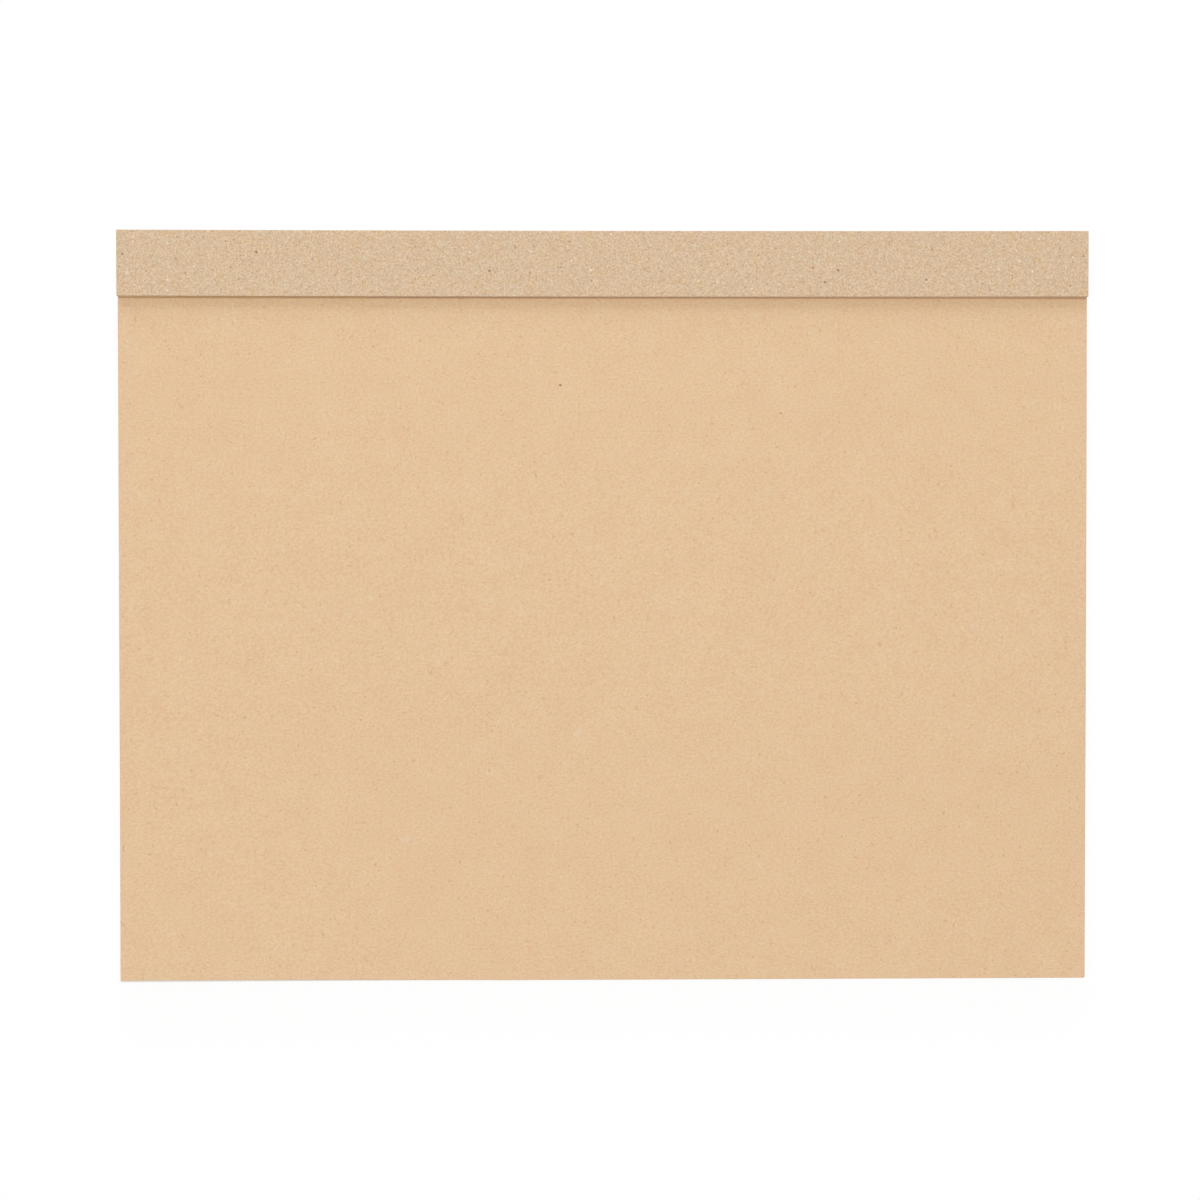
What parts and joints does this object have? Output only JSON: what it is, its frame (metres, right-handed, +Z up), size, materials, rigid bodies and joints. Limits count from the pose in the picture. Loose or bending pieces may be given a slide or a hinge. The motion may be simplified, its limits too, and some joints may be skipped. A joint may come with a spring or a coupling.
{
  "type": "drawing pad",
  "caption": "Landscape drawing pad with tear-off sheets between a kraft card cover and a chipboard back, bound along the head under a chipboard strip.",
  "frame": {"origin": "middle of the pad's outline, on the surface that it lies on", "axes": "+Z up, out of the cover; +Y to the head, where the pad is bound; +X along the head, to the right for someone reading with the head away from them"},
  "size_m": [0.4206, 0.3256, 0.0101],
  "materials": {
    "chipboard": "matte",
    "kraft_card": "matte",
    "drawing_paper": "matte",
    "padding_glue": "satin"
  },
  "bodies": {
    "root": {"backing_board": "chipboard", "head_strip": "chipboard", "strip_glue": "padding_glue", "head_glue": "padding_glue", "cover_margin": "kraft_card", "sheet_01_stub": "drawing_paper", "sheet_02_stub": "drawing_paper", "sheet_03_stub": "drawing_paper", "sheet_04_stub": "drawing_paper", "sheet_05_stub": "drawing_paper", "sheet_06_stub": "drawing_paper", "sheet_07_stub": "drawing_paper", "sheet_08_stub": "drawing_paper", "sheet_09_stub": "drawing_paper", "sheet_10_stub": "drawing_paper", "sheet_11_stub": "drawing_paper", "sheet_12_stub": "drawing_paper", "sheet_13_stub": "drawing_paper", "sheet_14_stub": "drawing_paper", "sheet_15_stub": "drawing_paper", "sheet_16_stub": "drawing_paper", "sheet_17_stub": "drawing_paper", "sheet_18_stub": "drawing_paper", "sheet_19_stub": "drawing_paper", "sheet_20_stub": "drawing_paper"},
    "cover_front": {"cover_leaf": "kraft_card"},
    "sheet_01": {"sheet_01_leaf": "drawing_paper"},
    "sheet_02": {"sheet_02_leaf": "drawing_paper"},
    "sheet_03": {"sheet_03_leaf": "drawing_paper"},
    "sheet_04": {"sheet_04_leaf": "drawing_paper"},
    "sheet_05": {"sheet_05_leaf": "drawing_paper"},
    "sheet_06": {"sheet_06_leaf": "drawing_paper"},
    "sheet_07": {"sheet_07_leaf": "drawing_paper"},
    "sheet_08": {"sheet_08_leaf": "drawing_paper"},
    "sheet_09": {"sheet_09_leaf": "drawing_paper"},
    "sheet_10": {"sheet_10_leaf": "drawing_paper"},
    "sheet_11": {"sheet_11_leaf": "drawing_paper"},
    "sheet_12": {"sheet_12_leaf": "drawing_paper"},
    "sheet_13": {"sheet_13_leaf": "drawing_paper"},
    "sheet_14": {"sheet_14_leaf": "drawing_paper"},
    "sheet_15": {"sheet_15_leaf": "drawing_paper"},
    "sheet_16": {"sheet_16_leaf": "drawing_paper"},
    "sheet_17": {"sheet_17_leaf": "drawing_paper"},
    "sheet_18": {"sheet_18_leaf": "drawing_paper"},
    "sheet_19": {"sheet_19_leaf": "drawing_paper"},
    "sheet_20": {"sheet_20_leaf": "drawing_paper"}
  },
  "joints": [
    {"name": "cover_fold_over", "type": "hinge", "parent": "root", "child": "cover_front", "pos_m": [0, 0.13385, 0.00944], "axis": [-1, 0, 0], "range_deg": [0, 178]},
    {"name": "sheet_01_tear_off", "type": "slide", "parent": "root", "child": "sheet_01", "axis": [0, -1, 0], "range_m": [0, 0.3]},
    {"name": "sheet_02_tear_off", "type": "slide", "parent": "root", "child": "sheet_02", "axis": [0, -1, 0], "range_m": [0, 0.3]},
    {"name": "sheet_03_tear_off", "type": "slide", "parent": "root", "child": "sheet_03", "axis": [0, -1, 0], "range_m": [0, 0.3]},
    {"name": "sheet_04_tear_off", "type": "slide", "parent": "root", "child": "sheet_04", "axis": [0, -1, 0], "range_m": [0, 0.3]},
    {"name": "sheet_05_tear_off", "type": "slide", "parent": "root", "child": "sheet_05", "axis": [0, -1, 0], "range_m": [0, 0.3]},
    {"name": "sheet_06_tear_off", "type": "slide", "parent": "root", "child": "sheet_06", "axis": [0, -1, 0], "range_m": [0, 0.3]},
    {"name": "sheet_07_tear_off", "type": "slide", "parent": "root", "child": "sheet_07", "axis": [0, -1, 0], "range_m": [0, 0.3]},
    {"name": "sheet_08_tear_off", "type": "slide", "parent": "root", "child": "sheet_08", "axis": [0, -1, 0], "range_m": [0, 0.3]},
    {"name": "sheet_09_tear_off", "type": "slide", "parent": "root", "child": "sheet_09", "axis": [0, -1, 0], "range_m": [0, 0.3]},
    {"name": "sheet_10_tear_off", "type": "slide", "parent": "root", "child": "sheet_10", "axis": [0, -1, 0], "range_m": [0, 0.3]},
    {"name": "sheet_11_tear_off", "type": "slide", "parent": "root", "child": "sheet_11", "axis": [0, -1, 0], "range_m": [0, 0.3]},
    {"name": "sheet_12_tear_off", "type": "slide", "parent": "root", "child": "sheet_12", "axis": [0, -1, 0], "range_m": [0, 0.3]},
    {"name": "sheet_13_tear_off", "type": "slide", "parent": "root", "child": "sheet_13", "axis": [0, -1, 0], "range_m": [0, 0.3]},
    {"name": "sheet_14_tear_off", "type": "slide", "parent": "root", "child": "sheet_14", "axis": [0, -1, 0], "range_m": [0, 0.3]},
    {"name": "sheet_15_tear_off", "type": "slide", "parent": "root", "child": "sheet_15", "axis": [0, -1, 0], "range_m": [0, 0.3]},
    {"name": "sheet_16_tear_off", "type": "slide", "parent": "root", "child": "sheet_16", "axis": [0, -1, 0], "range_m": [0, 0.3]},
    {"name": "sheet_17_tear_off", "type": "slide", "parent": "root", "child": "sheet_17", "axis": [0, -1, 0], "range_m": [0, 0.3]},
    {"name": "sheet_18_tear_off", "type": "slide", "parent": "root", "child": "sheet_18", "axis": [0, -1, 0], "range_m": [0, 0.3]},
    {"name": "sheet_19_tear_off", "type": "slide", "parent": "root", "child": "sheet_19", "axis": [0, -1, 0], "range_m": [0, 0.3]},
    {"name": "sheet_20_tear_off", "type": "slide", "parent": "root", "child": "sheet_20", "axis": [0, -1, 0], "range_m": [0, 0.3]}
  ]
}
